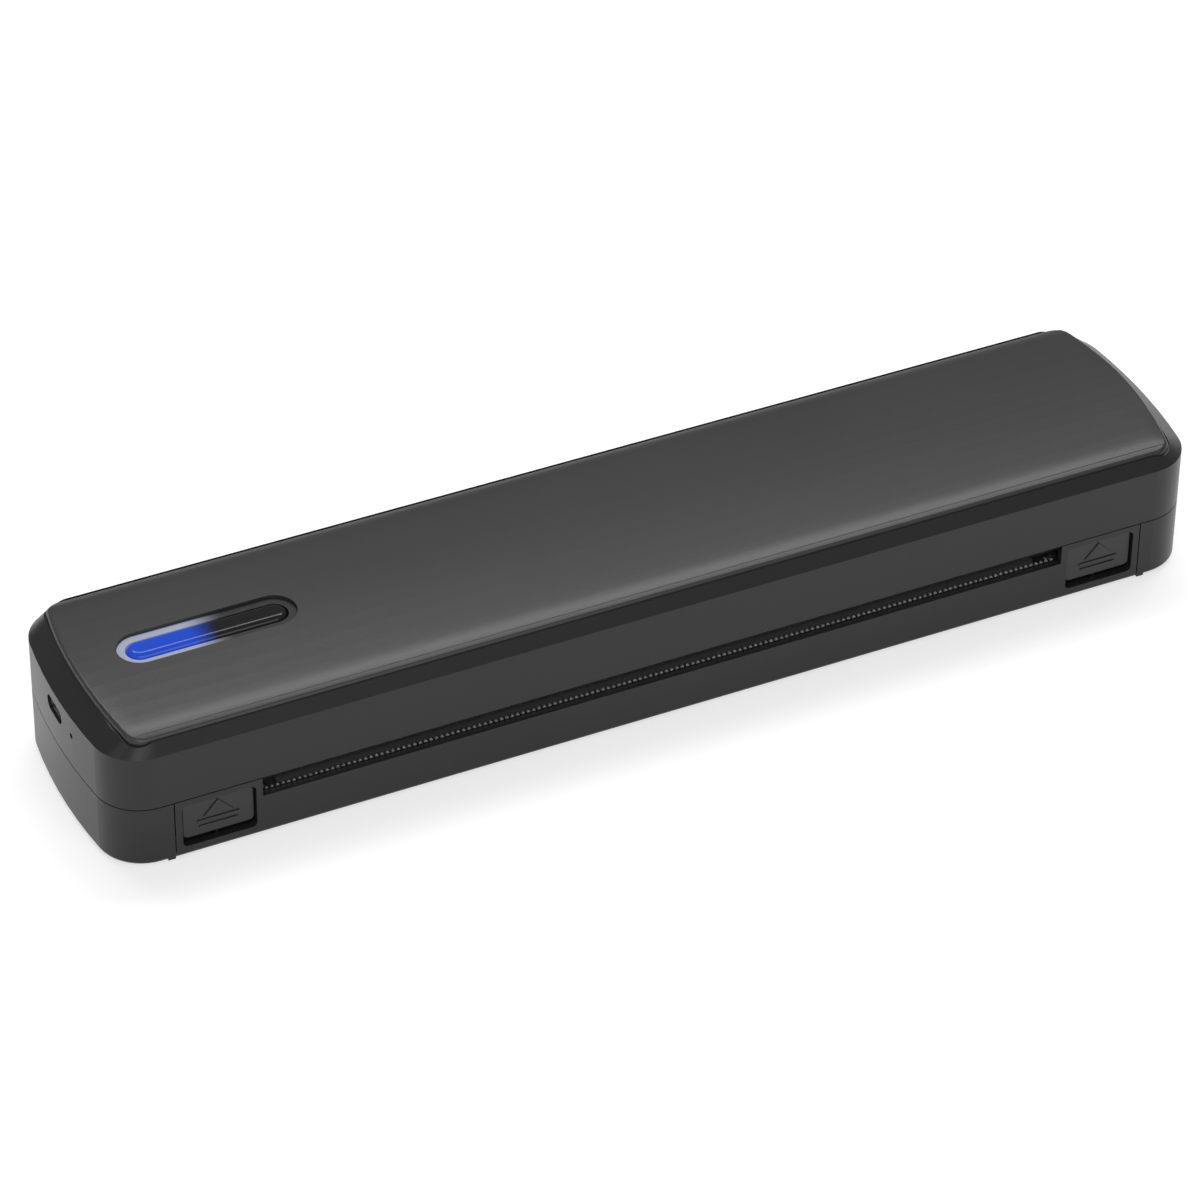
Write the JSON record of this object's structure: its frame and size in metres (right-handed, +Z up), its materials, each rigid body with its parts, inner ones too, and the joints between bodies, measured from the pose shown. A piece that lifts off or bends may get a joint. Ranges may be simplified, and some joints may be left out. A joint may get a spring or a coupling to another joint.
{
  "type": "a4 portable thermal printer",
  "caption": "Slim bar-shaped portable thermal printer with a crowned top panel, a front flap that folds down with the platen roller, sliding release buttons and a lit power button.",
  "frame": {"origin": "centre of the footprint on the floor under the feet", "axes": "+X along the paper's width towards the gear end, -Y towards the paper mouth and the flap, +Z up"},
  "size_m": [0.31, 0.066, 0.0406],
  "materials": {
    "case_black": "fine satin moulded black plastic",
    "panel_satin": "satin charcoal lacquer with a fine grain",
    "button_black": "satin moulded black plastic",
    "power_lens": "glossy translucent black with a blue lit end",
    "light_ring": "translucent grey light guide",
    "steel": "ground steel",
    "tear_steel": "blackened spring steel with bright tips",
    "roller_rubber": "ground silicone rubber",
    "gear_plastic": "natural acetal",
    "brass_pinion": "machined brass",
    "motor_steel": "plated steel can",
    "frame_steel": "zinc plated sheet steel",
    "head_aluminium": "extruded aluminium",
    "ceramic": "glazed alumina",
    "inner_plastic": "moulded black plastic",
    "cell_wrap": "blue shrink sleeve",
    "board_green": "green solder mask",
    "switch_black": "black plastic",
    "foot_rubber": "matt rubber",
    "screw_black": "blackened steel",
    "lamp": "blue lamp"
  },
  "bodies": {
    "housing": {"lower_case": "case_black", "upper_case": "case_black", "top_panel": "panel_satin", "power_light_ring": "light_ring", "mechanism_frame": "frame_steel", "motor_bracket": "frame_steel", "stepper_motor": "motor_steel", "idler_post": "steel", "print_head_pivot_shaft": "steel", "print_head_springs": "steel", "paper_guide": "inner_plastic", "inner_deck": "inner_plastic", "battery_cells": "cell_wrap", "main_board": "board_green", "charging_port": "steel", "power_switch": "switch_black", "reset_switch": "switch_black", "status_lamp": "lamp", "paper_sensor": "switch_black", "rubber_feet": "foot_rubber", "case_screws": "screw_black", "board_screws": "screw_black"},
    "flap": {"front_flap": "case_black", "flap_hinge_pins": "steel", "tear_bar": "tear_steel", "platen_bushings": "gear_plastic", "left_button_spring": "steel", "right_button_spring": "steel"},
    "platen": {"platen_shaft": "steel", "platen_rubber": "roller_rubber", "platen_gear": "gear_plastic"},
    "left_button": {"left_release_button": "button_black"},
    "right_button": {"right_release_button": "button_black"},
    "head": {"print_head_heat_sink": "head_aluminium", "print_head_strip": "ceramic"},
    "pinion": {"motor_pinion": "brass_pinion"},
    "idler": {"idler_gear": "gear_plastic"},
    "power": {"power_button": "power_lens"}
  },
  "joints": [
    {"name": "flap_hinge", "type": "hinge", "parent": "housing", "child": "flap", "pos_m": [0, -0.0302, 0.005], "axis": [1, 0, 0], "range_deg": [0, 80]},
    {"name": "platen_spin", "type": "hinge", "parent": "flap", "child": "platen", "pos_m": [0, -0.025, 0.00855], "axis": [1, 0, 0], "continuous": true},
    {"name": "idler_spin", "type": "hinge", "parent": "housing", "child": "idler", "pos_m": [0, -0.01761, 0.00985], "axis": [1, 0, 0], "continuous": true},
    {"name": "motor_spin", "type": "hinge", "parent": "housing", "child": "pinion", "pos_m": [0, -0.01024, 0.01501], "axis": [1, 0, 0], "continuous": true},
    {"name": "left_button_slide", "type": "slide", "parent": "flap", "child": "left_button", "axis": [0, 0, -1], "range_m": [0, 0.0014], "stiffness_N_per_m": 200, "deforming": ["left_button_spring"]},
    {"name": "right_button_slide", "type": "slide", "parent": "flap", "child": "right_button", "axis": [0, 0, -1], "range_m": [0, 0.0014], "stiffness_N_per_m": 200, "deforming": ["right_button_spring"]},
    {"name": "head_pivot", "type": "hinge", "parent": "housing", "child": "head", "pos_m": [0, -0.02401, 0.02124], "axis": [1, 0, 0], "range_deg": [0, 1], "stiffness_Nm_per_rad": 2},
    {"name": "power_press", "type": "slide", "parent": "housing", "child": "power", "axis": [0, 0, -1], "range_m": [0, 0.0005], "stiffness_N_per_m": 400}
  ],
  "couplings": [
    {"joint": "idler_spin", "follows": "platen_spin", "ratio": -1.1429},
    {"joint": "motor_spin", "follows": "platen_spin", "ratio": 2.2857}
  ]
}
